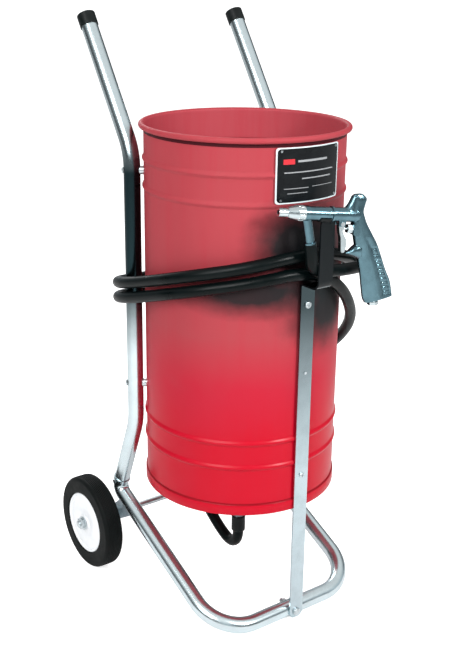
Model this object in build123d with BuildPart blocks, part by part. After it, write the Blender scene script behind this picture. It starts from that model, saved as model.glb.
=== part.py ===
"""Portable siphon-feed abrasive blaster: an open drum on a two-wheeled tube cart, its hose and its gun.

Millimetres, +Z up, +X to the right along the wheel axle, -Y to the front (strap, hook and gun).
The origin is on the floor, under the middle of the machine's footprint.
"""
import os
from math import atan2, cos, degrees, hypot, pi, radians, sin, tan

from build123d import *

os.makedirs("parts", exist_ok=True)

# ---------------------------------------------------------------- driving dimensions
drum_y = -20.9  # the drum's axis, measured from the middle of the footprint
drum_radius = 178.0
drum_base_z = 235.0
drum_top_z = 910.0
drum_wall = 1.2
bead_height = 3.0
bead_half_width = 7.0
bead_levels = [848.0, 799.0, 373.5, 327.0]
curl_radius = 5.0
bolt_levels = [823.5, 420.0]  # where bolts hold the drum to the uprights
cone_top_z = 392.0
cone_bottom_z = 262.0
nipple_radius = 10.7

tube_radius = 15.0
tube_wall = 1.6
side_x = 164.5  # how far the uprights and the base tube's sides stand from the middle
upright_y = drum_y + 111.3
foot_y = drum_y + 179.3  # where an upright's centre line meets the base tube's
foot_z = 170.4
front_bar_y = drum_y - 166.2
corner_radius = 80.0
elbow_radius = 20.0
lower_bend_z = 341.5
upper_bend_z = 855.0
handle_end_y = drum_y + 259.5
handle_end_z = 1077.5

axle_y = drum_y + 214.7
axle_z = 93.7
axle_radius = 6.35
axle_half_length = 243.0
wheel_inner_x = 190.9
wheel_outer_x = 229.6
rim_radius = 61.3

strap_width = 30.0
strap_thickness = 3.2
strap_y = drum_y - 182.8  # the flat strap's middle plane
shelf_z = 661.0
hook_y = drum_y - 226.0
hook_tip_z = 781.0
upper_screw_z = 623.0
rivet_z = 498.0
lower_screw_z = 301.0

hose_radius = 10.5
outlet_z = 104.0  # the lower end of the outlet sleeve, where the hose leaves

gun_yaw = -14.0
gun_nose_up = 6.2
gun_origin = (10.0, drum_y - 229.0, 787.8)
barrel_radius = 11.5
trigger_pivot = (13.0, -14.0)  # in the gun's side view: back along the barrel, and up
valve_w = -23.0

sides = [("left", -1), ("right", 1)]

# ---------------------------------------------------------------- shared planes and helpers
drum_axis = Axis((0, drum_y, 0), (0, 0, 1))
drum_section = Plane(origin=(0, drum_y, 0), x_dir=(1, 0, 0), z_dir=(0, -1, 0))
wheel_section = Plane(origin=(0, axle_y, axle_z), x_dir=(1, 0, 0), z_dir=(0, -1, 0))
wheel_axis = Axis((0, axle_y, axle_z), (1, 0, 0))

yaw = radians(gun_yaw)
nose = radians(gun_nose_up)
gun_back = Vector(cos(yaw) * cos(nose), sin(yaw) * cos(nose), -sin(nose))
gun_side = Vector(sin(yaw), -cos(yaw), 0)
gun_plane = Plane(origin=gun_origin, x_dir=gun_back, z_dir=gun_side)


def save(part, name):
    """Label one finished piece and write its STEP file."""
    part.label = name
    export_step(part, f"parts/{name}.step")


def across_axle(x):
    """A plane across the axle at x, facing +X: its own axes are world Y and Z."""
    return Plane(origin=(x, axle_y, axle_z), x_dir=(0, 1, 0), z_dir=(1, 0, 0))


def facing_front(y, z):
    """A plane in the middle of the machine that faces the front, -Y."""
    return Plane(origin=(0, y, z), x_dir=(1, 0, 0), z_dir=(0, -1, 0))


def gun_across(u, w=0.0, turn=0.0):
    """A plane at (u, w) of the gun's side view, facing back along the barrel, turned up by an angle."""
    angle = radians(turn)
    facing = gun_plane.x_dir * cos(angle) + gun_plane.y_dir * sin(angle)
    place = gun_plane.from_local_coords(Vector(u, w, 0))
    return Plane(origin=place, x_dir=gun_side, z_dir=facing)


def radial_plane(side, distance, z):
    """A plane that faces outwards from the drum's axis, through one upright's centre line."""
    reach = hypot(side_x, upright_y - drum_y)
    outwards = Vector(side * side_x, upright_y - drum_y, 0) / reach
    return Plane(origin=Vector(0, drum_y, z) + outwards * distance, x_dir=(0, 0, 1), z_dir=outwards)


# ---------------------------------------------------------------- drum
with BuildPart() as drum_shell:
    with BuildSketch(drum_section):
        wall_height = drum_top_z - curl_radius - drum_base_z
        with Locations((drum_radius - drum_wall, drum_base_z)):
            Rectangle(drum_wall, wall_height, align=(Align.MIN, Align.MIN))
        for level in bead_levels:
            for radius, mode in ((drum_radius, Mode.ADD), (drum_radius - drum_wall, Mode.SUBTRACT)):
                low = (radius, level - bead_half_width)
                high = (radius, level + bead_half_width)
                with BuildLine():
                    ThreePointArc(low, (radius + bead_height, level), high)
                    Line(high, low)
                make_face(mode=mode)
        # the chime, a folded band round the foot of the wall, and the rim's rolled curl
        with Locations((drum_radius, drum_base_z)):
            Rectangle(2.4, 19.0, align=(Align.MIN, Align.MIN))
        with Locations((drum_radius - drum_wall + curl_radius, drum_top_z - curl_radius)):
            Circle(curl_radius)
            Circle(curl_radius - drum_wall, mode=Mode.SUBTRACT)
    revolve(axis=drum_axis)
    for side in (-1, 1):
        for z in bolt_levels:
            with BuildSketch(radial_plane(side, drum_radius - 6, z)):
                Circle(3.2)
            extrude(amount=12, mode=Mode.SUBTRACT)
    for z, hole_radius in ((upper_screw_z, 3.2), (lower_screw_z, 2.7)):
        with BuildSketch(facing_front(drum_y - drum_radius + 6, z)):
            Circle(hole_radius)
        extrude(amount=12, mode=Mode.SUBTRACT)
save(drum_shell.part, "drum_shell")

bottom_z = drum_base_z + 9.0
flange_outer = drum_radius - drum_wall - 0.05
with BuildPart() as drum_bottom:
    with BuildSketch(drum_section):
        with BuildLine():
            Polyline(
                (nipple_radius + 0.05, bottom_z),
                (flange_outer - 1.6, bottom_z),
                (flange_outer - 1.6, drum_base_z + 1),
                (flange_outer, drum_base_z + 1),
                (flange_outer, bottom_z + 1.6),
                (nipple_radius + 0.05, bottom_z + 1.6),
                close=True,
            )
        make_face()
    revolve(axis=drum_axis)
save(drum_bottom.part, "drum_bottom")

cone_outer = drum_radius - drum_wall - 0.2
cone_inner = nipple_radius + 1.0
with BuildPart() as hopper_cone:
    with BuildSketch(drum_section):
        with BuildLine():
            Polyline(
                (cone_inner, cone_bottom_z - 8),
                (cone_inner + 1.2, cone_bottom_z - 8),
                (cone_inner + 1.2, cone_bottom_z - 0.5),
                (cone_outer, cone_top_z - 0.5),
                (cone_outer, cone_top_z + 12),
                (cone_outer - 1.2, cone_top_z + 12),
                (cone_outer - 1.2, cone_top_z + 0.5),
                (cone_inner, cone_bottom_z + 0.5),
                close=True,
            )
        make_face()
    revolve(axis=drum_axis)
save(hopper_cone.part, "hopper_cone")

# ---------------------------------------------------------------- outlet under the drum
sleeve_length = 32.0
nipple_low_z = outlet_z + sleeve_length - 14
with BuildPart() as outlet_nipple:
    with BuildSketch(Plane(origin=(0, drum_y, nipple_low_z))):
        Circle(nipple_radius)
        Circle(nipple_radius - 3, mode=Mode.SUBTRACT)
    extrude(amount=cone_bottom_z - nipple_low_z)
save(outlet_nipple.part, "outlet_nipple")

with BuildPart() as outlet_locknuts:
    for low_z in (bottom_z - 7.05, bottom_z + 1.65):
        with BuildSketch(Plane(origin=(0, drum_y, low_z))):
            RegularPolygon(17, 6)
            Circle(nipple_radius + 0.05, mode=Mode.SUBTRACT)
        extrude(amount=7)
    chamfer(outlet_locknuts.edges().group_by(Axis.Z)[0].filter_by(GeomType.LINE), 0.8)
save(outlet_locknuts.part, "outlet_locknuts")

sleeve_radius = 13.5
with BuildPart() as outlet_sleeve:
    with BuildSketch(Plane(origin=(0, drum_y, outlet_z))):
        Circle(sleeve_radius)
    extrude(amount=sleeve_length)
    fillet(outlet_sleeve.edges().filter_by(GeomType.CIRCLE), 1.5)
    with BuildSketch(Plane(origin=(0, drum_y, nipple_low_z))):
        Circle(nipple_radius + 0.05)
    extrude(amount=sleeve_length, mode=Mode.SUBTRACT)
save(outlet_sleeve.part, "outlet_sleeve")

# ---------------------------------------------------------------- name plate (blank) and its rivets
plate_inner = drum_radius + bead_height + 0.1
plate_low_z = 801.5
plate_high_z = 893.5
plate_width = 132.0
plate_middle_z = (plate_low_z + plate_high_z) / 2
with BuildPart() as label_plate:
    with BuildSketch(Plane(origin=(0, drum_y, plate_low_z))):
        Circle(plate_inner + 0.9)
        Circle(plate_inner, mode=Mode.SUBTRACT)
    extrude(amount=plate_high_z - plate_low_z)
    with BuildSketch(facing_front(drum_y - drum_radius / 2, plate_middle_z)):
        RectangleRounded(plate_width, plate_high_z - plate_low_z, 5)
    extrude(amount=drum_radius, mode=Mode.INTERSECT)
save(label_plate.part, "label_plate")

rivet_angle = degrees(atan2(plate_width / 2 - 6, plate_inner))
with BuildPart() as label_rivets:
    for turn in (-rivet_angle, rivet_angle):
        for z in (plate_low_z + 6, plate_high_z - 6):
            outwards = Vector(sin(radians(turn)), -cos(radians(turn)), 0)
            start = Vector(0, drum_y, z) + outwards * (plate_inner + 0.92)
            with BuildSketch(Plane(origin=start, x_dir=(0, 0, 1), z_dir=outwards)):
                Circle(1.9)
            extrude(amount=1.2)
save(label_rivets.part, "label_rivets")

# ---------------------------------------------------------------- cart: uprights and their caps
upright_rise = Vector(0, upright_y - foot_y, lower_bend_z - foot_z).normalized()
handle_rise = Vector(0, handle_end_y - upright_y, handle_end_z - upper_bend_z).normalized()
mouth_reach = 31.0  # from the foot point up to the base tube's open mouth

for side_name, side in sides:
    foot = Vector(side * side_x, foot_y, foot_z)
    handle_end = Vector(side * side_x, handle_end_y, handle_end_z)

    with BuildPart() as upright:
        shoulder = foot + upright_rise * (mouth_reach + 0.4)
        with BuildLine() as centre_line:
            FilletPolyline(
                shoulder,
                (side * side_x, upright_y, lower_bend_z),
                (side * side_x, upright_y, upper_bend_z),
                handle_end,
                radius=[120, 95],
            )
        with BuildSketch(Plane(origin=shoulder, x_dir=(1, 0, 0), z_dir=upright_rise)):
            Circle(tube_radius)
            Circle(tube_radius - tube_wall, mode=Mode.SUBTRACT)
        sweep(path=centre_line.wire())
        # the reduced end that plugs into the base tube
        with BuildSketch(Plane(origin=shoulder, x_dir=(1, 0, 0), z_dir=upright_rise)):
            Circle(tube_radius - 0.5)
            Circle(tube_radius - tube_wall - 1.6, mode=Mode.SUBTRACT)
        extrude(amount=3)
        with BuildSketch(Plane(origin=shoulder, x_dir=(1, 0, 0), z_dir=upright_rise)):
            Circle(tube_radius - tube_wall - 0.1)
            Circle(tube_radius - tube_wall - 1.6, mode=Mode.SUBTRACT)
        extrude(amount=-10.5)
        for z in bolt_levels:
            with BuildSketch(radial_plane(side, drum_radius - 10, z)):
                Circle(3.2)
            extrude(amount=60, mode=Mode.SUBTRACT)
    save(upright.part, f"{side_name}_upright")

    with BuildPart() as grip_cap:
        cap_top = handle_end + handle_rise * 2.6
        with BuildSketch(Plane(origin=cap_top, x_dir=(1, 0, 0), z_dir=handle_rise)):
            Circle(tube_radius + 1.6)
        extrude(amount=-24)
        fillet(grip_cap.edges().filter_by(GeomType.CIRCLE).sort_by(Axis.Z)[-1], 1.6)
        with BuildSketch(Plane(origin=handle_end, x_dir=(1, 0, 0), z_dir=handle_rise)):
            Circle(tube_radius + 0.05)
        extrude(amount=-30, mode=Mode.SUBTRACT)
    save(grip_cap.part, f"{side_name}_grip_cap")

# ---------------------------------------------------------------- cart: base tube
with BuildPart() as base_tube:
    mouth = Vector(0, foot_y, foot_z) + upright_rise * mouth_reach
    left_mouth = Vector(-side_x, mouth.Y, mouth.Z)
    with BuildLine() as base_line:
        FilletPolyline(
            left_mouth,
            (-side_x, foot_y, foot_z),
            (-side_x, front_bar_y, tube_radius),
            (side_x, front_bar_y, tube_radius),
            (side_x, foot_y, foot_z),
            (side_x, mouth.Y, mouth.Z),
            radius=[elbow_radius, corner_radius, corner_radius, elbow_radius],
        )
    with BuildSketch(Plane(origin=left_mouth, x_dir=(1, 0, 0), z_dir=-upright_rise)):
        Circle(tube_radius)
        Circle(tube_radius - tube_wall, mode=Mode.SUBTRACT)
    sweep(path=base_line.wire())
    for side in (-1, 1):
        # the rolled lip round each mouth, and the cross hole for its bolt
        lip = Plane(origin=(side * side_x, mouth.Y, mouth.Z), x_dir=(1, 0, 0), z_dir=upright_rise)
        with BuildSketch(lip):
            Circle(tube_radius + 1.6)
            Circle(tube_radius - tube_wall, mode=Mode.SUBTRACT)
        extrude(amount=-4)
    with BuildSketch(facing_front(front_bar_y, tube_radius)):
        Circle(4.1)
    extrude(amount=30, both=True, mode=Mode.SUBTRACT)
save(base_tube.part, "base_tube")

socket_bolt_reach = mouth_reach - 8.4
with BuildPart() as socket_screws:
    for side in (-1, 1):
        place = Vector(side * side_x, foot_y, foot_z) + upright_rise * socket_bolt_reach
        for face in (-1, 1):
            start = place + Vector(face * (tube_radius + 0.02), 0, 0)
            with BuildSketch(Plane(origin=start, x_dir=(0, 1, 0), z_dir=(face, 0, 0))):
                RegularPolygon(4.3, 6)
            extrude(amount=3.0)
save(socket_screws.part, "socket_screws")

# ---------------------------------------------------------------- cart: axle and its brackets
side_run = Vector(0, front_bar_y - foot_y, tube_radius - foot_z).normalized()
for side_name, side in sides:
    with BuildPart() as bracket:
        with BuildSketch(across_axle(side * side_x - 2.5)):
            with BuildLine():
                Polyline(
                    (foot_y - axle_y - 14, foot_z - axle_z - 8),
                    (foot_y - axle_y - 56, foot_z - axle_z - 27),
                    (foot_y - axle_y - 50, foot_z - axle_z - 41),
                    (-9, -11),
                    (13, -5),
                    (12, 6),
                    (foot_y - axle_y - 8, foot_z - axle_z - 21),
                    close=True,
                )
            make_face()
        extrude(amount=5)
        with BuildSketch(across_axle(side * side_x - 8)):
            Circle(12.5)
        extrude(amount=16)
        with BuildSketch(across_axle(side * side_x - 8)):
            Circle(axle_radius + 0.05)
        extrude(amount=16, mode=Mode.SUBTRACT)
        tube_end = Vector(side * side_x, foot_y, foot_z) - side_run * 20
        with BuildSketch(Plane(origin=tube_end, x_dir=(1, 0, 0), z_dir=side_run)):
            Circle(tube_radius + 0.02)
        extrude(amount=120, mode=Mode.SUBTRACT)
    save(bracket.part, f"{side_name}_axle_bracket")

with BuildPart() as axle:
    with BuildSketch(across_axle(-axle_half_length)):
        Circle(axle_radius)
    extrude(amount=2 * axle_half_length)
    chamfer(axle.edges().filter_by(GeomType.CIRCLE), 1.0)
save(axle.part, "axle")

washer_radius = 14.0
washer_spans = [(wheel_inner_x - 2.6, wheel_inner_x - 0.6), (wheel_outer_x + 0.6, wheel_outer_x + 2.6)]
with BuildPart() as axle_washers:
    for side in (-1, 1):
        for near, far in washer_spans:
            with BuildSketch(across_axle(side * near)):
                Circle(washer_radius)
                Circle(axle_radius + 0.05, mode=Mode.SUBTRACT)
            extrude(amount=side * (far - near))
save(axle_washers.part, "axle_washers")

bracket_face_x = side_x + 8.02
with BuildPart() as axle_spacers:
    for side in (-1, 1):
        with BuildSketch(across_axle(side * bracket_face_x)):
            Circle(9.5)
            Circle(axle_radius + 0.05, mode=Mode.SUBTRACT)
        extrude(amount=side * (wheel_inner_x - 2.62 - bracket_face_x))
save(axle_spacers.part, "axle_spacers")

with BuildPart() as axle_nuts:
    for side in (-1, 1):
        with BuildSketch(across_axle(side * (wheel_outer_x + 2.62))):
            RegularPolygon(11, 6)
            Circle(axle_radius + 0.02, mode=Mode.SUBTRACT)
        extrude(amount=side * 8)
    chamfer(axle_nuts.edges().group_by(Axis.X)[0].filter_by(GeomType.LINE), 0.8)
    chamfer(axle_nuts.edges().group_by(Axis.X)[-1].filter_by(GeomType.LINE), 0.8)
save(axle_nuts.part, "axle_nuts")

# ---------------------------------------------------------------- wheels
wheel_middle_x = (wheel_inner_x + wheel_outer_x) / 2
wheel_width = wheel_outer_x - wheel_inner_x
tyre_seat = rim_radius - 3.0
groove_offsets = [-12.0, -7.2, -2.4, 2.4, 7.2, 12.0]
for side_name, side in sides:
    with BuildPart() as tyre:
        with BuildSketch(wheel_section) as tyre_section:
            with Locations((side * wheel_middle_x, (axle_z + rim_radius + 0.1) / 2)):
                Rectangle(wheel_width, axle_z - rim_radius - 0.1)
            fillet(tyre_section.vertices().group_by(Axis.Y)[-1], 8)
            fillet(tyre_section.vertices().group_by(Axis.Y)[0], 2)
            with Locations((side * wheel_middle_x, rim_radius)):
                Rectangle(wheel_width - 10.4, 2 * (rim_radius - tyre_seat) - 0.2)
            for offset in groove_offsets:
                with Locations((side * wheel_middle_x + offset, axle_z)):
                    Rectangle(1.5, 3.0, mode=Mode.SUBTRACT)
        revolve(axis=wheel_axis)
    save(tyre.part, f"{side_name}_tyre")

    with BuildPart() as rim:
        with BuildSketch(wheel_section):
            seat_low = tyre_seat - 3.4
            with Locations((side * wheel_middle_x, (seat_low + tyre_seat) / 2)):
                Rectangle(wheel_width - 2.4, tyre_seat - seat_low)
            for end in (-1, 1):
                with Locations((side * wheel_middle_x + end * (wheel_width / 2 - 3.0), rim_radius - 3)):
                    Rectangle(3.6, 6.0)
            with Locations((side * wheel_middle_x, 11.5)):
                Rectangle(wheel_width - 1.2, 6.9)
            with BuildLine():
                Polyline(
                    (side * (wheel_outer_x - 4.0), 13),
                    (side * (wheel_outer_x - 4.0), 24),
                    (side * (wheel_outer_x - 2.4), 34),
                    (side * (wheel_outer_x - 2.4), seat_low + 1),
                    (side * (wheel_outer_x - 5.8), seat_low + 1),
                    (side * (wheel_outer_x - 5.8), 36),
                    (side * (wheel_outer_x - 7.4), 26),
                    (side * (wheel_outer_x - 7.4), 13),
                    close=True,
                )
            make_face()
        revolve(axis=wheel_axis)
        # stiffening ribs on the inner side, between the hub and the rim
        for turn in range(0, 360, 60):
            across = Vector(0, cos(radians(turn)), sin(radians(turn)))
            start = Vector(side * (wheel_inner_x + 8), axle_y, axle_z) + across * 14
            with BuildSketch(Plane(origin=start, x_dir=(1, 0, 0), z_dir=across)):
                with Locations((side * 11.5, 0)):
                    Rectangle(23, 3)
            extrude(amount=seat_low - 13.5)
    save(rim.part, f"{side_name}_rim")

    with BuildPart() as bush:
        with BuildSketch(wheel_section):
            with Locations((side * wheel_middle_x, (axle_radius + 0.05 + 8.0) / 2)):
                Rectangle(wheel_width + 0.6, 8.0 - axle_radius - 0.05)
        revolve(axis=wheel_axis)
    save(bush.part, f"{side_name}_bush")

# ---------------------------------------------------------------- front strap with its hose hook
strap_front = strap_y - strap_thickness / 2
strap_back = strap_y + strap_thickness / 2
hook_front = hook_y - strap_thickness / 2
hook_back = hook_y + strap_thickness / 2
shelf_top = shelf_z + strap_thickness / 2
shelf_low = shelf_z - strap_thickness / 2
strap_low_z = 3.0
with BuildPart() as front_strap:
    with BuildSketch(Plane(origin=(-strap_width / 2, 0, 0), x_dir=(0, 1, 0), z_dir=(1, 0, 0))):
        with BuildLine():
            Polyline((strap_back, strap_low_z), (strap_back, shelf_top - 6))
            RadiusArc((strap_back, shelf_top - 6), (strap_back - 6, shelf_top), -6)
            Polyline((strap_back - 6, shelf_top), (hook_back + 12, shelf_top))
            RadiusArc((hook_back + 12, shelf_top), (hook_back, shelf_top + 12), 12)
            Polyline(
                (hook_back, shelf_top + 12),
                (hook_back, hook_tip_z),
                (hook_front, hook_tip_z),
                (hook_front, shelf_low + 15.2),
            )
            RadiusArc((hook_front, shelf_low + 15.2), (hook_front + 15.2, shelf_low), -15.2)
            Polyline((hook_front + 15.2, shelf_low), (strap_front - 2.8, shelf_low))
            RadiusArc((strap_front - 2.8, shelf_low), (strap_front, shelf_low - 2.8), 2.8)
            Polyline(
                (strap_front, shelf_low - 2.8), (strap_front, strap_low_z), (strap_back, strap_low_z)
            )
        make_face()
    extrude(amount=strap_width)
    fillet(front_strap.edges().filter_by(Axis.Y).group_by(Axis.Z)[0], 11)
    fillet(front_strap.edges().filter_by(Axis.Y).group_by(Axis.Z)[-1], 9)
    for z, hole_radius in ((upper_screw_z, 3.2), (lower_screw_z, 2.7), (tube_radius, 4.1)):
        with BuildSketch(facing_front(strap_back + 5, z)):
            Circle(hole_radius)
        extrude(amount=12, mode=Mode.SUBTRACT)
    # the tip is coped to lie under the gun's rest
    with BuildSketch(gun_across(-60)):
        Circle(barrel_radius + 2.05)
    extrude(amount=120, mode=Mode.SUBTRACT)
save(front_strap.part, "front_strap")

with BuildPart() as strap_screws:
    for z, head_radius, shank_radius in ((upper_screw_z, 6.4, 3.1), (lower_screw_z, 4.6, 2.6)):
        with BuildSketch(facing_front(strap_front - 0.02, z)):
            Circle(head_radius)
        extrude(amount=3.4)
        with BuildSketch(facing_front(strap_front - 0.02, z)):
            Circle(shank_radius)
        extrude(amount=-18)
    fillet(strap_screws.edges().filter_by(GeomType.CIRCLE).group_by(Axis.Y)[0], 2.0)
    for z, head_radius in ((upper_screw_z, 6.4), (lower_screw_z, 4.6)):
        with BuildSketch(facing_front(strap_front - 2.2, z)):
            Rectangle(1.1, head_radius * 1.3)
            Rectangle(head_radius * 1.3, 1.1)
        extrude(amount=3, mode=Mode.SUBTRACT)
save(strap_screws.part, "strap_screws")

with BuildPart() as strap_spacers:
    for z, hole_radius in ((upper_screw_z, 3.2), (lower_screw_z, 2.7)):
        with BuildSketch(facing_front(drum_y - drum_radius - 0.1, z)):
            Circle(9)
            Circle(hole_radius, mode=Mode.SUBTRACT)
        extrude(amount=-(strap_back - (drum_y - drum_radius - 0.1)) - 0.02)
save(strap_spacers.part, "strap_spacers")

with BuildPart() as strap_nuts:
    for z, hole_radius in ((upper_screw_z, 3.12), (lower_screw_z, 2.62)):
        with BuildSketch(facing_front(drum_y - drum_radius + drum_wall + 5.4, z)):
            RegularPolygon(5.8, 6)
            Circle(hole_radius, mode=Mode.SUBTRACT)
        extrude(amount=5)
save(strap_nuts.part, "strap_nuts")

with BuildPart() as strap_rivet:
    with BuildSketch(facing_front(strap_front - 0.02, rivet_z)):
        Circle(2.6)
    extrude(amount=1.2)
save(strap_rivet.part, "strap_rivet")

with BuildPart() as foot_bolt:
    with BuildSketch(facing_front(strap_front - 0.02, tube_radius)):
        Circle(7.4)
    extrude(amount=4.4)
    fillet(foot_bolt.edges().filter_by(GeomType.CIRCLE).sort_by(Axis.Y)[0], 2.4)
    with BuildSketch(facing_front(strap_front - 0.02, tube_radius)):
        Circle(4.0)
    extrude(amount=-46)
save(foot_bolt.part, "foot_bolt")

with BuildPart() as foot_nut:
    with BuildSketch(facing_front(front_bar_y + tube_radius + 6.6, tube_radius)):
        RegularPolygon(7.4, 6)
        Circle(4.02, mode=Mode.SUBTRACT)
    extrude(amount=6.5)
save(foot_nut.part, "foot_nut")

with BuildPart() as gun_rest:
    with BuildSketch(gun_across(-28)):
        Circle(barrel_radius + 2.0)
        Circle(barrel_radius + 0.05, mode=Mode.SUBTRACT)
        with Locations((0, 14)):
            Rectangle(40, 16, mode=Mode.INTERSECT)
    extrude(amount=20)
save(gun_rest.part, "gun_rest")

# ---------------------------------------------------------------- bolts that hold the drum to the uprights
upright_reach = hypot(side_x, upright_y - drum_y)
with BuildPart() as drum_bolts:
    for side in (-1, 1):
        for z in bolt_levels:
            with BuildSketch(radial_plane(side, upright_reach + tube_radius + 0.06, z)):
                Circle(6.5)
            extrude(amount=3.2, taper=25)
            with BuildSketch(radial_plane(side, upright_reach + tube_radius + 0.06, z)):
                Circle(3.0)
            extrude(amount=-46)
save(drum_bolts.part, "drum_bolts")

with BuildPart() as drum_spacers:
    for side in (-1, 1):
        for z in bolt_levels:
            with BuildSketch(radial_plane(side, drum_radius - 2, z)):
                Circle(8.0)
                Circle(3.2, mode=Mode.SUBTRACT)
            extrude(amount=12)
    with BuildSketch(Plane(origin=(0, drum_y, 0))):
        Circle(drum_radius + 0.02)
        with Locations((-side_x, upright_y - drum_y), (side_x, upright_y - drum_y)):
            Circle(tube_radius + 0.02)
    extrude(amount=1000, mode=Mode.SUBTRACT)
save(drum_spacers.part, "drum_spacers")

with BuildPart() as drum_nuts:
    for side in (-1, 1):
        for z in bolt_levels:
            with BuildSketch(radial_plane(side, drum_radius - drum_wall - 5.4, z)):
                RegularPolygon(5.8, 6)
                Circle(3.02, mode=Mode.SUBTRACT)
            extrude(amount=5)
save(drum_nuts.part, "drum_nuts")

# ---------------------------------------------------------------- gun: body
chamber_radius = 6.0
inlet_at = (98.0, -147.43)
inlet_turn = 98.13  # the air inlet runs up the grip, square to the grip's foot
half_body = 10.0
slot_half = 5.3
with BuildPart() as gun_body:
    with BuildSketch(gun_plane):
        with BuildLine():
            Polyline((-3, -11), (-3, 10.5), (18, 10.5), (27, 32))
            ThreePointArc((27, 32), (37, 37), (49, 34))
            ThreePointArc((49, 34), (54.5, 29), (53.5, 22))
            ThreePointArc((53.5, 22), (50.5, 8), (56, -6))
            Line((56, -6), (62, -14))
            ThreePointArc((62, -14), (88, -49), (110, -89))
            ThreePointArc((110, -89), (123, -110), (133, -134))
            Polyline((133, -134), (108, -146), (80, -150), (75, -138), (63, -95), (54, -70))
            ThreePointArc((54, -70), (50, -66), (45, -65.5))
            Polyline((45, -65.5), (33, -65), (33, -62))
            ThreePointArc((33, -62), (39, -56.5), (41, -48))
            Polyline((41, -48), (41, -40), (36, -31), (36, -11), (19, -11), (19, -19))
            Polyline((19, -19), (7, -19), (7, -11), (-3, -11))
        make_face()
    extrude(amount=half_body, both=True)
    flanks = gun_body.faces().sort_by(Axis(gun_plane.origin, gun_side))
    grip_rims = []
    for edge in flanks[0].edges() + flanks[-1].edges():
        middle = gun_plane.to_local_coords(edge.center())
        if middle.X > 52 and middle.Y < -10:
            grip_rims.append(edge)
    fillet(grip_rims, 2.5)
    with BuildSketch(gun_across(-3)):
        Circle(barrel_radius)
    extrude(amount=30)
    # the slot between the ears, the trigger pin's hole, the valve chamber and the air passages
    with BuildSketch(gun_plane):
        with Locations((13, -15)):
            Rectangle(14, 12)
    extrude(amount=slot_half, both=True, mode=Mode.SUBTRACT)
    with BuildSketch(gun_plane):
        with Locations(trigger_pivot):
            Circle(2.02)
    extrude(amount=20, both=True, mode=Mode.SUBTRACT)
    with BuildSketch(gun_across(30, valve_w)):
        Circle(chamber_radius)
    extrude(amount=30, mode=Mode.SUBTRACT)
    with BuildSketch(gun_across(-5)):
        Circle(3.0)
    extrude(amount=49, mode=Mode.SUBTRACT)
    with BuildSketch(gun_across(42.6, valve_w, 90)):
        Circle(2.2)
    extrude(amount=-valve_w, mode=Mode.SUBTRACT)
    with BuildSketch(gun_across(*inlet_at, inlet_turn)):
        Circle(6.6)
    extrude(amount=13, mode=Mode.SUBTRACT)
    with BuildSketch(gun_across(*inlet_at, inlet_turn)):
        Circle(4.0)
    extrude(amount=55, mode=Mode.SUBTRACT)
    with BuildSketch(gun_across(91, -93, 118.2)):
        Circle(3.5)
    extrude(amount=78, mode=Mode.SUBTRACT)
    # a shallow panel in each side of the grip, crossed by plain ribs
    for face in (-1, 1):
        panel_plane = gun_plane.offset(face * half_body)
        with BuildSketch(panel_plane):
            with BuildLine():
                Polyline((76, -48), (86, -48), (125, -124), (108, -132), (76, -48))
            make_face()
        extrude(amount=-face * 1.2, mode=Mode.SUBTRACT)
        with BuildSketch(gun_plane.offset(face * (half_body - 1.3))):
            for step in range(9):
                with Locations(Pos(83.5 + 3.6 * step, -58 - 8 * step) * Rot(0, 0, -24)):
                    Rectangle(8 + 0.9 * step, 2.2)
        extrude(amount=face * 1.1)
save(gun_body.part, "gun_body")

with BuildPart() as air_inlet:
    with BuildSketch(gun_across(*inlet_at, inlet_turn)):
        Circle(6.55)
    extrude(amount=12.5)
    with BuildSketch(gun_across(*inlet_at, inlet_turn)):
        RegularPolygon(9.8, 6)
    extrude(amount=-5.5)
    with BuildSketch(gun_across(*inlet_at, inlet_turn)):
        Circle(4.0)
    extrude(amount=13, mode=Mode.SUBTRACT)
    with BuildSketch(gun_across(*inlet_at, inlet_turn)):
        Circle(5.6)
    extrude(amount=-6, mode=Mode.SUBTRACT)
    with BuildSketch(gun_across(*inlet_at, inlet_turn)):
        Circle(5.6)
    extrude(amount=9, mode=Mode.SUBTRACT)
save(air_inlet.part, "air_inlet")

# ---------------------------------------------------------------- gun: barrel, nozzle and air jet
stem_turn = degrees(atan2(-33.0, 9.5))
stem_end = (-36.5, -50.0)
stem_length = 42.0
with BuildPart() as gun_barrel:
    with BuildSketch(gun_across(-56)):
        Circle(12.3)
    extrude(amount=9)
    with BuildSketch(gun_across(-56)):
        Circle(barrel_radius)
    extrude(amount=56 - 3.05)
    with BuildSketch(gun_across(-6.6)):
        Circle(13.2)
    extrude(amount=3.55)
    with BuildSketch(gun_across(*stem_end, stem_turn)):
        Circle(8)
    extrude(amount=-stem_length)
    with BuildSketch(gun_across(*stem_end, stem_turn)):
        Circle(10.2)
    extrude(amount=-3)
    with BuildSketch(gun_across(-57)):
        Circle(6)
    extrude(amount=47, mode=Mode.SUBTRACT)
    with BuildSketch(gun_across(-12)):
        Circle(3.45)
    extrude(amount=12, mode=Mode.SUBTRACT)
    with BuildSketch(gun_across(*stem_end, stem_turn)):
        Circle(5.5)
    extrude(amount=-stem_length, mode=Mode.SUBTRACT)
save(gun_barrel.part, "gun_barrel")

with BuildPart() as air_jet:
    with BuildSketch(gun_across(-11)):
        Circle(3.4)
    extrude(amount=7.9)
    with BuildSketch(gun_across(-16)):
        Circle(4.6)
    extrude(amount=5.9)
    with BuildSketch(gun_across(-16)):
        Circle(3.4)
    extrude(amount=-20, taper=3)
    with BuildSketch(gun_across(-37)):
        Circle(1.5)
    extrude(amount=40, mode=Mode.SUBTRACT)
save(air_jet.part, "air_jet")

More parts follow.
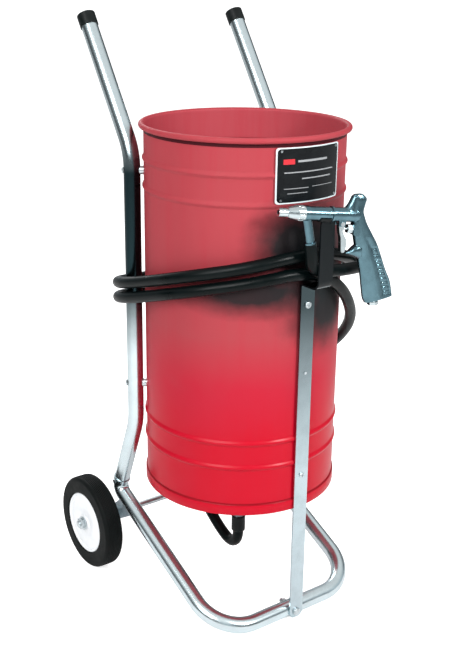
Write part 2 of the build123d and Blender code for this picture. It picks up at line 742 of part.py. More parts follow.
with BuildPart() as gun_nozzle:
    with BuildSketch(gun_across(-101)):
        Circle(7)
    extrude(amount=44.9)
    with BuildSketch(gun_across(-60.1)):
        Circle(8.4)
    extrude(amount=4)
    chamfer(gun_nozzle.edges().filter_by(GeomType.CIRCLE).sort_by(Axis(gun_plane.origin, gun_back))[0], 0.8)
    with BuildSketch(gun_across(-101)):
        Circle(4)
    extrude(amount=46, mode=Mode.SUBTRACT)
save(gun_nozzle.part, "gun_nozzle")

with BuildPart() as nozzle_nut:
    with BuildSketch(gun_plane):
        with BuildLine():
            Polyline(
                (-85, 7.05), (-85, 8.6), (-68, 12.6), (-56.1, 12.6), (-56.1, 8.5),
                (-60.4, 8.5), (-60.4, 7.05), (-85, 7.05),
            )
        make_face()
    revolve(axis=Axis(gun_plane.origin, gun_back))
    with BuildSketch(gun_across(-67)):
        with PolarLocations(13.4, 12):
            Circle(1.4)
    extrude(amount=9, mode=Mode.SUBTRACT)
save(nozzle_nut.part, "nozzle_nut")

# ---------------------------------------------------------------- gun: trigger and air valve
with BuildPart() as trigger:
    with BuildSketch(gun_plane):
        with BuildLine():
            Polyline((9, -15), (12, -28), (16, -38), (18, -50), (19.5, -60))
            ThreePointArc((19.5, -60), (23.4, -63), (27, -60))
            Polyline((27, -60), (28.5, -50), (27, -41), (21, -33), (17.3, -26), (17.3, -15), (9, -15))
        make_face()
        with Locations((16.3, valve_w)):
            Circle(3)
        with Locations(trigger_pivot):
            Circle(4.5)
            Circle(2.06, mode=Mode.SUBTRACT)
    extrude(amount=4.9, both=True)
save(trigger.part, "trigger")

with BuildPart() as trigger_pin:
    with BuildSketch(gun_plane):
        with Locations(trigger_pivot):
            Circle(2.0)
    extrude(amount=half_body + 0.4, both=True)
    for face in (-1, 1):
        with BuildSketch(gun_plane.offset(face * (half_body + 0.02))):
            with Locations(trigger_pivot):
                Circle(3.6)
        extrude(amount=face * 1.4)
save(trigger_pin.part, "trigger_pin")

with BuildPart() as valve_cap:
    with BuildSketch(gun_across(27, valve_w)):
        RegularPolygon(7.6, 6)
    extrude(amount=8.98)
    with BuildSketch(gun_across(27, valve_w)):
        Circle(chamber_radius - 0.05)
    extrude(amount=13)
    with BuildSketch(gun_across(27, valve_w)):
        Circle(2.06)
    extrude(amount=13, mode=Mode.SUBTRACT)
save(valve_cap.part, "valve_cap")

with BuildPart() as valve_seat:
    with BuildSketch(gun_across(45.5, valve_w)):
        Circle(chamber_radius - 0.05)
        Circle(2.8, mode=Mode.SUBTRACT)
    extrude(amount=2.4)
save(valve_seat.part, "valve_seat")

with BuildPart() as valve_plunger:
    with BuildSketch(gun_across(19.6, valve_w)):
        Circle(2.0)
    extrude(amount=29)
    with BuildSketch(gun_across(48.25, valve_w)):
        Circle(4.4)
    extrude(amount=2.6)
save(valve_plunger.part, "valve_plunger")

spring_low = gun_across(51.4, valve_w)
with BuildPart() as valve_spring:
    with BuildLine() as coil:
        Helix(pitch=1.7, height=6.2, radius=3.6, center=spring_low.origin, direction=gun_back)
    with BuildSketch(Plane(origin=coil.line @ 0, z_dir=coil.line % 0)):
        Circle(0.45)
    sweep(path=coil.line, is_frenet=True)
save(valve_spring.part, "valve_spring")

# ---------------------------------------------------------------- media hose
# from the outlet round the back, up the right side and over the hook, twice round the drum and
# both uprights, back over the hook and up into the gun's stem
loop_plan = [
    (-190, -80), (-197, 23), (-200, 100), (-178, 149), (-100, 178), (0, 203),
    (100, 178), (178, 149), (200, 100), (197, 23), (191, -81),
]
first_loop_heights = [650, 618, 596, 584, 572, 563, 562, 565, 570, 588, 634]
second_loop_heights = [677, 645, 624, 612, 600, 591, 590, 594, 602, 622]
feed = [
    (0, 0, outlet_z - 0.05), (0, 0, 86), (0, 15, 68.5), (0, 37, 68), (0, 76, 88), (3, 140, 128),
    (36, 204, 188), (110, 214, 250), (182, 168, 318), (216, 82, 388), (212, -20, 460), (178, -108, 540),
    (110, -163, 616), (43, -189, 666), (-24, -193, 686), (-102, -170, 674),
]
between_loops = [(110, -168, 686), (36, -190, 712), (-37, -190, 714), (-114, -164, 700)]
over_hook = [(212, -64, 648), (166, -164, 668), (88, -208, 680), (18, -213.5, 686), (-19, -212, 696)]
first_loop = [(x, y, z) for (x, y), z in zip(loop_plan, first_loop_heights)]
second_loop = [(x, y, z) for (x, y), z in zip(loop_plan, second_loop_heights)]
wound = feed + first_loop + between_loops + second_loop + over_hook

stem_mouth = gun_plane.from_local_coords(Vector(*stem_end, 0))
stem_down = gun_across(0, 0, stem_turn).z_dir
hose_route = [Vector(x, drum_y + y, z) for x, y, z in wound]
hose_route += [stem_mouth + stem_down * 20, stem_mouth + stem_down * 0.05]

bend_radii = []
for before, corner, after in zip(hose_route, hose_route[1:], hose_route[2:]):
    shorter_run = min((corner - before).length, (after - corner).length)
    half_turn = radians((corner - before).get_angle(after - corner)) / 2
    bend_radii.append(0.45 * shorter_run / tan(half_turn))
print("hose bend radii", [round(radius) for radius in bend_radii])

hose_bore_radius = 6.35
with BuildPart() as media_hose:
    with BuildLine() as hose_line:
        FilletPolyline(*hose_route, radius=bend_radii)
    with BuildSketch(Plane(origin=hose_route[0], z_dir=(0, 0, -1))):
        Circle(hose_radius)
        Circle(hose_bore_radius, mode=Mode.SUBTRACT)
    sweep(path=hose_line.wire())
hose_length = hose_line.wire().length
hose_section = pi * (hose_radius**2 - hose_bore_radius**2)
print("hose length", round(hose_length, 1), "route points", len(hose_route))
print("hose volume over section x length", round(media_hose.part.volume / hose_section / hose_length, 5))
save(media_hose.part, "media_hose")
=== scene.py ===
# %% [markdown]
# # A portable abrasive blaster in Blender
# The machine is an open red drum on a two-wheeled cart of plated tube. A black hose runs from the
# outlet under the drum, twice round the drum and the cart, and up into a pistol-grip blast gun that
# rests on a hook. The solid model arrives as a fixed frame. We keep its small machined pieces, give
# every piece a finish, and work out again the surfaces that catch the light most: the drum's
# pressed wall, the bent tubes, the wheels, the hose and the gun's casting.

from math import atan2, cos, pi, radians, sin, tan

import bpy
import numpy as np
from mathutils import Matrix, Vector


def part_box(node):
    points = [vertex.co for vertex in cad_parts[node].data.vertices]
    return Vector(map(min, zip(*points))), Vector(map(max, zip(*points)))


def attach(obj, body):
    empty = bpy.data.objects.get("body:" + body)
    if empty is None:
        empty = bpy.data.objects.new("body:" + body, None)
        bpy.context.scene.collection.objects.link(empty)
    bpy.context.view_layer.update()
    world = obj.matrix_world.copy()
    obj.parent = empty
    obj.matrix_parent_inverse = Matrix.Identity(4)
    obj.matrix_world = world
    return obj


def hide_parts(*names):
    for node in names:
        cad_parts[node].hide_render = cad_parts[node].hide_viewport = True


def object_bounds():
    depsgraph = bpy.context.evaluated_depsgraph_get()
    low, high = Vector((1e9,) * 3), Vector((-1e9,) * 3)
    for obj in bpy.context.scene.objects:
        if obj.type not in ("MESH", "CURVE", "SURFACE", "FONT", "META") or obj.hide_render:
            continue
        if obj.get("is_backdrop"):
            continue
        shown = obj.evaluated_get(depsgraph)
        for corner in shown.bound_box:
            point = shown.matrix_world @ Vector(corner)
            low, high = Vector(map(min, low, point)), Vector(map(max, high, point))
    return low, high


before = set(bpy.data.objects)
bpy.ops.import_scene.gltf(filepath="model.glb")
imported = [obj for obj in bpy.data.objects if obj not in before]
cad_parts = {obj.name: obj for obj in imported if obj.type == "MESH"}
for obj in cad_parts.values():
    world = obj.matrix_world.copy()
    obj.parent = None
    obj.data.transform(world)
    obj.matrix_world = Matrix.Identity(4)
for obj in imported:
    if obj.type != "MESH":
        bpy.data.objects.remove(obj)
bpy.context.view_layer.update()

# %% [markdown]
# ## Reference places
# Everything hangs on a few places. The drum's axis is vertical, and its distance from the origin
# can be read from the drum's box. The gun lies in a leaning plane of its own: `gun_back` runs
# back along the barrel, `gun_up` is up in its side view, and `gun_side` faces the front.

# %% Places that several pieces share
mm = 0.001
drum_low, drum_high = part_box("drum_shell")
drum_y = (drum_low[1] + drum_high[1]) / 2
yaw, nose_up = radians(-14), radians(6.2)
gun_back = np.array([cos(yaw) * cos(nose_up), sin(yaw) * cos(nose_up), -sin(nose_up)])
gun_side = np.array([sin(yaw), -cos(yaw), 0.0])
gun_up = np.cross(gun_side, gun_back)
gun_origin = np.array([0.010, drum_y - 0.229, 0.7878])
sides = (("left", -1), ("right", 1))
print("drum axis at y", round(drum_y, 4), "gun up", gun_up.round(3))


def on_gun(u, w, v=0.0):
    """The place u back along the barrel, w up and v to the front, in millimetres from the gun's origin."""
    u, w, v = (np.asarray(a, float)[..., None] * mm for a in (u, w, v))
    return gun_origin + u * gun_back + w * gun_up + v * gun_side


# %% [markdown]
# ## Camera
# A camera is a place, three directions and a lens. It stands about 1.9 m from the drum, to its front
# left and a little above it, looks 19 degrees down, and is rolled by less than a degree. The
# three directions are the columns of its matrix, so nothing has to be turned by trial and error.

# %% Stand the camera


def standing(directions, place):
    """The matrix of an object that stands at a place, with three directions as its own axes."""
    rows = [[*map(float, row), float(at)] for row, at in zip(np.column_stack(directions), place)]
    return Matrix(rows + [[0, 0, 0, 1]])


look, down, roll = radians(-36.83), radians(19.08), radians(0.83)
ahead = np.array([-sin(look) * cos(down), cos(look) * cos(down), -sin(down)])
level = np.array([cos(look), sin(look), 0.0])
above = np.cross(level, ahead)
right = level * cos(roll) + above * sin(roll)
upward = above * cos(roll) - level * sin(roll)
camera_place = (-1.1403, drum_y - 1.4939, 1.1835)
camera = bpy.data.objects.new("camera", bpy.data.cameras.new("camera"))
camera.matrix_world = standing([right, upward, -ahead], camera_place)
camera.data.lens = 59.222769
camera.data.clip_start = 0.05
bpy.context.scene.collection.objects.link(camera)
bpy.context.scene.camera = camera
print("lens", round(camera.data.lens, 2))

# %% [markdown]
# ## Building finishes from nodes
# A finish is a small graph of shader nodes. `Finish` keeps such a graph short to write: it makes a
# Principled surface, sets its plain sockets, and has helpers for the few patterns that real
# finishes need, which are noise, a ramp, a height band and a bump. Patterns read Object
# coordinates, which are metres in the machine's own frame, or the UV map that our own surfaces
# carry, which is metres along and round the piece.

# %% The Finish helper


class Finish:
    """One procedural material: a Principled surface with patterns on its colour, roughness and bump."""

    def __init__(self, name, colour, roughness, metallic=0.0, **sockets):
        self.material = bpy.data.materials.new(name)
        self.material.use_nodes = True
        self.tree = self.material.node_tree
        self.surface = self.tree.nodes["Principled BSDF"]
        self.surface.inputs["Base Color"].default_value = (*colour, 1)
        self.surface.inputs["Roughness"].default_value = roughness
        self.surface.inputs["Metallic"].default_value = metallic
        for socket, value in sockets.items():
            self.surface.inputs[socket.replace("_", " ")].default_value = value
        self.coordinates = self.tree.nodes.new("ShaderNodeTexCoord")

    def node(self, kind, **values):
        """Adds a node and fills its sockets, each named with _ for a space."""
        made = self.tree.nodes.new("ShaderNode" + kind)
        for key, value in values.items():
            self.fill(made.inputs[key.replace("_", " ")], value)
        return made

    def fill(self, socket, value):
        """Links a socket to another node's output, or sets it to a plain value."""
        if isinstance(value, bpy.types.NodeSocket):
            self.tree.links.new(value, socket)
        else:
            socket.default_value = value

    def place(self, scale=(1, 1, 1), uv=False):
        """Object or UV coordinates, stretched by a scale on each axis."""
        source = self.coordinates.outputs["UV" if uv else "Object"]
        return self.node("Mapping", Vector=source, Scale=scale).outputs[0]

    def noise(self, size, detail=4.0, scale=(1, 1, 1), uv=False):
        """Noise whose spots are about size metres across."""
        place = self.place(scale, uv)
        return self.node("TexNoise", Vector=place, Scale=1 / size, Detail=detail, Roughness=0.6).outputs["Fac"]

    def ramp(self, value, *stops):
        """Colours or greys at positions from 0 to 1, smooth between them."""
        made = self.node("ValToRGB", Fac=value)
        elements = made.color_ramp.elements
        while len(elements) < len(stops):
            elements.new(0.5)
        for element, (position, tone) in zip(elements, stops):
            element.position = position
            element.color = (tone, tone, tone, 1) if isinstance(tone, (int, float)) else (*tone, 1)
        return made.outputs["Color"]

    def height(self, low, high):
        """0 at one height of the machine and 1 at another, in metres."""
        up = self.node("SeparateXYZ", Vector=self.place()).outputs["Z"]
        return self.node("MapRange", Value=up, From_Min=low, From_Max=high).outputs["Result"]

    def maths(self, operation, first, second=0.5):
        """Two values, or a value and a number, put together."""
        made = self.tree.nodes.new("ShaderNodeMath")
        made.operation = operation
        made.use_clamp = operation in ("ADD", "MULTIPLY")
        self.fill(made.inputs[0], first)
        self.fill(made.inputs[1], second)
        return made.outputs[0]

    def mix(self, amount, first, second):
        """The second colour laid over the first by an amount from 0 to 1."""
        made = self.tree.nodes.new("ShaderNodeMix")
        made.data_type = "RGBA"
        self.fill(made.inputs[0], amount)
        for index, colour in ((6, first), (7, second)):
            self.fill(made.inputs[index], (*colour, 1) if isinstance(colour, tuple) else colour)
        return made.outputs[2]

    def within(self, value, low, high):
        """1 where the value lies between two bounds, else 0."""
        made = self.tree.nodes.new("ShaderNodeMath")
        made.operation = "COMPARE"
        for socket, part in zip(made.inputs, (value, (low + high) / 2, (high - low) / 2)):
            self.fill(socket, part)
        return made.outputs[0]

    def soft_shadow_mask(self, centre, radii):
        """1 inside a soft ellipsoid and 0 outside it, with noise that makes its edge ragged."""
        shift, scale = [-c / r for c, r in zip(centre, radii)], [1 / r for r in radii]
        source = self.node("Mapping", Vector=self.coordinates.outputs["Object"], Location=shift, Scale=scale)
        made = self.node("VectorMath")
        made.operation = "LENGTH"
        self.fill(made.inputs[0], source.outputs[0])
        ragged = self.maths("MULTIPLY", self.noise(0.03, 4), 0.15)
        far = self.maths("ADD", self.maths("MULTIPLY", made.outputs["Value"], 0.5), ragged)
        return self.ramp(far, (0.25, 1.0), (0.64, 0.0))

    def link(self, socket, value):
        """Feeds one of the surface's sockets."""
        self.tree.links.new(value, self.surface.inputs[socket])

    def bump(self, value, depth, before=None):
        """Raises the surface by depth metres where the value is 1, on top of an earlier bump."""
        made = self.node("Bump", Height=value, Strength=1.0, Distance=depth)
        if before is not None:
            self.tree.links.new(before, made.inputs["Normal"])
        self.link("Normal", made.outputs[0])
        return made.outputs[0]


# %% [markdown]
# ## The drum's paint
# The drum is sprayed in a bright crimson enamel that has sunk and chalked towards the top and is
# still wet-looking near the foot. Near-black patches are painted in as shadow around the hook and
# under the hose, where the gun and hose shade the drum. Dark lines are painted in as shade under the
# curl and above the foot. We make one paint whose colour and roughness follow the height, broken up
# by large soft noise so that the change isn't a stripe. Fine noise gives the faint orange peel that
# spraying leaves.

# %% Red enamel
mid_wall, crease_reach = 0.1775, (0.1776, 0.1806)  # radii that tell the drum's inside, wall and rims apart
red_enamel = Finish("red_enamel", (0.6, 0.02, 0.05), 0.34, Specular_IOR_Level=0.16)
cloud = red_enamel.noise(0.22, 3)
level_up = red_enamel.height(0.38, 0.57)
drift = red_enamel.maths("MULTIPLY", red_enamel.maths("SUBTRACT", cloud), 0.9)
faded = red_enamel.maths("ADD", level_up, drift)
enamel_tone = red_enamel.ramp(
    faded, (0.0, (0.46, 0.001, 0.014)), (0.5, (0.43, 0.010, 0.028)), (1.0, (0.355, 0.044, 0.055))
)
drum_place = red_enamel.node("SeparateXYZ", Vector=red_enamel.place())
out_x = red_enamel.maths("POWER", drum_place.outputs["X"], 2.0)
out_y = red_enamel.maths("POWER", red_enamel.maths("SUBTRACT", drum_place.outputs["Y"], drum_y), 2.0)
from_axis = red_enamel.maths("SQRT", red_enamel.maths("ADD", out_x, out_y))
enamel_tone = red_enamel.mix(red_enamel.within(from_axis, 0.0, mid_wall), enamel_tone, (0.42, 0.060, 0.076))
streak = red_enamel.noise(0.02, 5, scale=(1, 1, 0.06))
streaked = red_enamel.ramp(streak, (0.45, 0.0), (0.75, 0.22))
enamel_tone = red_enamel.mix(streaked, enamel_tone, (0.42, 0.012, 0.03))
# Painted shadow: soft near-black patches on the drum around the hook, left of the gun and under the hose, where
# the gun and hose shade the paint.
painted_shadows = [
    ((-0.030, -0.176, 0.732), (0.088, 0.080, 0.078)),
    ((0.040, -0.170, 0.695), (0.125, 0.100, 0.145)),
    ((0.060, -0.165, 0.605), (0.095, 0.090, 0.082)),
    ((-0.090, -0.145, 0.648), (0.160, 0.135, 0.044)),
]
for (x, y, z), radii in painted_shadows:
    black = red_enamel.maths("MULTIPLY", red_enamel.soft_shadow_mask((x, drum_y + y, z), radii), 0.96)
    enamel_tone = red_enamel.mix(black, enamel_tone, (0.006, 0.010, 0.011))
# Painted shade: a dark line under the mouth's curl and a fainter one in the groove above the foot, where shade
# falls.
painted_crease_shade = [(0.8935, 0.9015, (0.05, 0.002, 0.006)), (0.2535, 0.2570, (0.26, 0.001, 0.008))]
for low, high, shade_tone in painted_crease_shade:
    crease_shade = red_enamel.within(drum_place.outputs["Z"], low, high)
    crease_shade = red_enamel.maths("MULTIPLY", crease_shade, red_enamel.within(from_axis, *crease_reach))
    enamel_tone = red_enamel.mix(crease_shade, enamel_tone, shade_tone)
red_enamel.link("Base Color", enamel_tone)
red_enamel.link("Roughness", red_enamel.ramp(faded, (0.0, 0.3), (1.0, 0.55)))
red_enamel.bump(red_enamel.noise(0.0035, 2), 0.00006, red_enamel.bump(red_enamel.noise(0.09, 2), 0.0009))
print("paint nodes", len(red_enamel.tree.nodes))

# %% [markdown]
# ## Bare and plated metals
# Bright zinc or nickel plating on tube is a mirror with a slight haze: faint lengthwise polishing
# marks, cloudy stains and a few dull specks. On the uprights a near-black band is painted into the
# plating at mid height, as painted reflection and shade from the dark surroundings and the hose.
# Flat bar and brackets are duller. One function makes the family, with the haze, the stain's
# strength and the length of the marks as its settings.

# %% Plated and plain metals


def metal(name, colour, roughness, haze=0.1, stain=0.25, marks=(1, 1, 1), speck=0.0006, uv=False):
    """A metal whose roughness wanders by haze, with clouds darkened by stain and stretched marks."""
    made = Finish(name, colour, roughness, metallic=1.0)
    cloudy = made.noise(0.03, 6)
    drawn = made.noise(0.002, 3, scale=marks, uv=uv)
    dull = tuple(channel * (1 - stain) for channel in colour)
    made.link("Base Color", made.mix(made.ramp(cloudy, (0.42, 0.0), (0.75, 1.0)), colour, dull))
    wander = made.maths("ADD", made.maths("MULTIPLY", cloudy, haze), made.maths("MULTIPLY", drawn, haze))
    made.link("Roughness", made.maths("ADD", wander, roughness - haze * 0.6))
    made.bump(made.noise(speck, 2), 0.00001, made.bump(drawn, 0.00002))
    return made


tube_plating = metal("tube_plating", (0.66, 0.76, 0.79), 0.22, 0.06, 0.10, (0.05, 1, 1), uv=True)
reach_up = tube_plating.height(0.45, 0.95)
# Painted reflection and shade: a near-black band on the uprights at mid height, where they mirror the dark
# surroundings and lie in the hose's shade.
painted_dark_band = tube_plating.ramp(reach_up, (0.06, 0.0), (0.30, 1.0), (0.74, 1.0), (0.92, 0.0))
plated_tone = tube_plating.surface.inputs["Base Color"].links[0].from_socket
tube_plating.link("Base Color", tube_plating.mix(painted_dark_band, plated_tone, (0.020, 0.040, 0.046)))
flat_bar = ((0.52, 0.62, 0.66), 0.17, 0.08, 0.15, (1, 1, 0.06))
bar_plating = metal("bar_plating", *flat_bar)
fastener_zinc = metal("fastener_zinc", (0.62, 0.68, 0.70), 0.24, 0.12, 0.3)
cast_aluminium = metal("cast_aluminium", (0.13, 0.23, 0.27), 0.20, 0.10, 0.35, (1, 1, 1), 0.003)
turned_steel = metal("turned_steel", (0.62, 0.70, 0.72), 0.2, 0.1, 0.25)
pipe_zinc = metal("pipe_zinc", (0.20, 0.22, 0.24), 0.35, 0.15, 0.4)
dull_brass = metal("dull_brass", (0.72, 0.55, 0.26), 0.32, 0.12, 0.35)
print("materials after the metals", len(bpy.data.materials))

# %% [markdown]
# ## Rubbers and plastics
# The hose and the tyres are black rubber. Rubber is never quite black: it carries a bloom of grey
# dust that is thicker in some places, and it shines softly along its length. The wheel centres are
# glossy white plastic with a little grime, and the handle ends are dipped in black vinyl.

# %% Rubbers and plastics


def dusty(name, colour, dust, roughness, amount, size=0.03, grain=0.0008, depth=0.00004, **sockets):
    """A dark or light plastic with a dust colour over it in clouds, and a fine grain."""
    made = Finish(name, colour, roughness, **sockets)
    cloudy = made.noise(size, 5)
    made.link("Base Color", made.mix(made.ramp(cloudy, (0.4, 0.0), (0.8, amount)), colour, dust))
    made.link("Roughness", made.ramp(cloudy, (0.3, roughness), (0.8, min(1.0, roughness + 0.2))))
    made.bump(made.noise(grain, 3), depth)
    return made


hose_rubber = dusty(
    "hose_rubber", (0.001, 0.003, 0.003), (0.003, 0.007, 0.008), 0.25, 0.45, Specular_IOR_Level=0.12
)
tyre_rubber = dusty(
    "tyre_rubber", (0.001, 0.002, 0.002), (0.005, 0.008, 0.008), 0.5, 0.6, 0.02, 0.0009, Specular_IOR_Level=0.12
)
white_plastic = dusty(
    "white_plastic", (0.86, 0.88, 0.90), (0.66, 0.69, 0.71), 0.28, 0.4, 0.02, 0.002, 0.00001
)
black_vinyl = dusty(
    "black_vinyl", (0.002, 0.004, 0.004), (0.010, 0.014, 0.015), 0.36, 0.4, 0.012, Specular_IOR_Level=0.22
)
print("materials after the rubbers", len(bpy.data.materials))

# %% [markdown]
# ## The hook's painted shade
# The strap is bare plating up to its shelf. Above the shelf it is a hook, which stands in shade and
# mirrors the black hose, so there it is painted near-black and not metallic, as painted shade.
# Plating and the painted black meet at one height, so the strap's finish is two sets of values and
# a switch on Z, with a slightly uneven edge. The plating below it is bright at the foot and is
# painted darker towards the shelf, as painted shade under the hose.

# %% Plating below, painted shade above
painted_black_level = 0.6665
strap_with_painted_shade = metal("strap_with_painted_shade", *flat_bar)
strap_z = strap_with_painted_shade.node("SeparateXYZ", Vector=strap_with_painted_shade.place()).outputs["Z"]
ragged_black_edge = strap_with_painted_shade.maths("MULTIPLY", strap_with_painted_shade.noise(0.01, 2), 0.003)
up_the_strap = strap_with_painted_shade.ramp(strap_with_painted_shade.height(0.30, 0.62), (0.0, 0.0), (1.0, 1.0))
# Painted shade: the plating is darkened towards the shelf, under the hose.
shelf_shade = strap_with_painted_shade.maths("MULTIPLY", up_the_strap, 0.95)
# Painted shade: above this height the hook is painted near-black and not metallic, where it lies in shade and
# mirrors the black hose.
painted_black = strap_with_painted_shade.maths("GREATER_THAN", strap_with_painted_shade.maths("ADD", strap_z, ragged_black_edge), painted_black_level)
bare_colour = strap_with_painted_shade.surface.inputs["Base Color"].links[0].from_socket
bare_roughness = strap_with_painted_shade.surface.inputs["Roughness"].links[0].from_socket
bare_colour = strap_with_painted_shade.mix(shelf_shade, bare_colour, (0.035, 0.055, 0.060))
strap_with_painted_shade.link("Base Color", strap_with_painted_shade.mix(painted_black, bare_colour, (0.003, 0.005, 0.006)))
strap_with_painted_shade.surface.inputs["Specular IOR Level"].default_value = 0.2
strap_with_painted_shade.link("Metallic", strap_with_painted_shade.maths("SUBTRACT", 1.0, painted_black))
duller = strap_with_painted_shade.maths("MULTIPLY", painted_black, 0.15)
strap_with_painted_shade.link("Roughness", strap_with_painted_shade.maths("ADD", bare_roughness, duller))
print("dip starts at", painted_black_level)

# %% [markdown]
# ## The name plate
# The plate is thin aluminium, printed black inside a bare rim with round corners. The print is one
# sheet of ink, so it is a mask in the plate's finish and not a piece of its own. The rim is where
# the distance to a rounded rectangle grows past a bound. A plain red bar and a few pale rules stand
# where a maker's print would be.

# %% Black print with a bare rim
plate_low, plate_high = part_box("label_plate")
plate_middle = (plate_low[2] + plate_high[2]) / 2
rim_width, corner = 0.0022, 0.006
plate_half_wide = plate_high[0] - rim_width
plate_half_high = (plate_high[2] - plate_low[2]) / 2 - rim_width
printed_plate = Finish("printed_plate", (0.012, 0.012, 0.014), 0.3, Specular_IOR_Level=0.25)
plate_place = printed_plate.node("SeparateXYZ", Vector=printed_plate.place())
plate_x = plate_place.outputs["X"]
plate_z = printed_plate.maths("SUBTRACT", plate_place.outputs["Z"], plate_middle)
past = []
for value, half in ((plate_x, plate_half_wide), (plate_z, plate_half_high)):
    beyond = printed_plate.maths("SUBTRACT", printed_plate.maths("ABSOLUTE", value), half - corner)
    beyond = printed_plate.maths("MAXIMUM", beyond, 0.0)
    past.append(printed_plate.maths("POWER", beyond, 2.0))
from_corner = printed_plate.maths("SQRT", printed_plate.maths("ADD", *past))
rim = printed_plate.maths("GREATER_THAN", from_corner, corner)
worn = printed_plate.ramp(printed_plate.noise(0.012, 5), (0.45, 0.0), (0.8, 0.5))
print_tone = printed_plate.mix(worn, (0.002, 0.003, 0.004), (0.008, 0.011, 0.012))
rules = [
    (-28, 34, 21, 24.5), (-52, 50, 4, 6), (-20, 44, -7, -5),
    (-52, -6, -22, -20.8), (2, 50, -21, -20), (-46, -8, -30, -28.8),
]
red_bar, red_ink, pale_ink = (-54, -34, 18.5, 27.0), (0.55, 0.03, 0.04), (0.30, 0.31, 0.32)
for bounds, ink in [(red_bar, red_ink)] + [(rule, pale_ink) for rule in rules]:
    mark = printed_plate.maths(
        "MULTIPLY",
        printed_plate.within(plate_x, bounds[0] * mm, bounds[1] * mm),
        printed_plate.within(plate_z, bounds[2] * mm, bounds[3] * mm),
    )
    print_tone = printed_plate.mix(mark, print_tone, ink)
printed_plate.link("Base Color", printed_plate.mix(rim, print_tone, (0.60, 0.68, 0.70)))
printed_plate.link("Roughness", printed_plate.ramp(printed_plate.noise(0.01, 4), (0.3, 0.26), (0.8, 0.42)))
printed_plate.bump(printed_plate.maths("SUBTRACT", 1.0, rim), 0.0002)
print("print half size", round(plate_half_wide, 4), round(plate_half_high, 4))

# %% [markdown]
# ## The hose
# A hose is one flexible line of fixed length, so its piece is a curve: a smooth spline through the
# air with the hose's roundness as its bevel. The points are those that the solid hose follows. It
# drops from the outlet, turns up behind the machine, climbs the right side, goes over the hook,
# round the drum and both uprights twice, and rises into the gun's stem. The spline is of order 3,
# which leans into each corner the way a stiff hose does.

# %% The hose's route, millimetres from the drum's axis
loop_plan = [
    (-190, -80), (-197, 23), (-200, 100), (-178, 149), (-100, 178), (0, 203),
    (100, 178), (178, 149), (200, 100), (197, 23), (191, -81),
]
first_loop_heights = [650, 618, 596, 584, 572, 563, 562, 565, 570, 588, 634]
second_loop_heights = [677, 645, 624, 612, 600, 591, 590, 594, 602, 622]
feed = [
    (0, 0, 103.95), (0, 0, 86), (0, 15, 68.5), (0, 37, 68), (0, 76, 88), (3, 140, 128),
    (36, 204, 188), (110, 214, 250), (182, 168, 318), (216, 82, 388), (212, -20, 460), (178, -108, 540),
    (110, -163, 616), (43, -189, 666), (-24, -193, 686), (-102, -170, 674),
]
between_loops = [(110, -168, 686), (36, -190, 712), (-37, -190, 714), (-114, -164, 700)]
over_hook = [(212, -64, 648), (166, -164, 668), (88, -208, 680), (18, -213.5, 686), (-19, -212, 696)]
wound = feed + [(*p, z) for p, z in zip(loop_plan, first_loop_heights)]
wound += between_loops + [(*p, z) for p, z in zip(loop_plan, second_loop_heights)] + over_hook
route = np.array(wound) * mm + np.array([0, drum_y, 0])
stem_turn = atan2(-33.0, 9.5)  # the stem falls 33 while it runs 9.5 back
stem_down = cos(stem_turn) * gun_back + sin(stem_turn) * gun_up
stem_mouth = on_gun(-36.5, -50.0)
route = np.vstack([route, stem_mouth + 0.020 * stem_down, stem_mouth + 0.00005 * stem_down])
print("hose points", len(route))

# %% The hose as a curve
hose_curve = bpy.data.curves.new("feed_hose", "CURVE")
hose_curve.dimensions = "3D"
hose_radius = 10.5 * mm
hose_curve.bevel_depth = hose_radius
hose_curve.bevel_resolution = 8
hose_curve.resolution_u = 14
hose_curve.use_fill_caps = True
spline = hose_curve.splines.new("NURBS")
spline.points.add(len(route) - 1)
spline.points.foreach_set("co", np.column_stack([route, np.ones(len(route))]).ravel())
spline.order_u = 3
spline.use_endpoint_u = True
hose = bpy.data.objects.new("feed_hose", hose_curve)
bpy.context.scene.collection.objects.link(hose)
hose_curve.materials.append(hose_rubber.material)
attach(hose, "machine")
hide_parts("media_hose")
print("hose from", route[0].round(3), "to", route[-1].round(3))

# %% [markdown]
# ## Surfaces from arrays
# Three helpers make most new surfaces. `surface` turns a grid of places into a mesh, with a UV map in
# metres and sharp edges where the faces meet at a steep angle. `turned` carries a profile round an
# axis, as a lathe does. `carried` sweeps a circle along a path, and closes its ends with a ring of
# no size.

# %% Grid to mesh


def walked(line):
    """How far round a closed line each of its places lies, ending with the whole way back to the first."""
    return np.concatenate([[0], np.cumsum(np.linalg.norm(np.diff(line, axis=0, append=line[:1]), axis=1))])


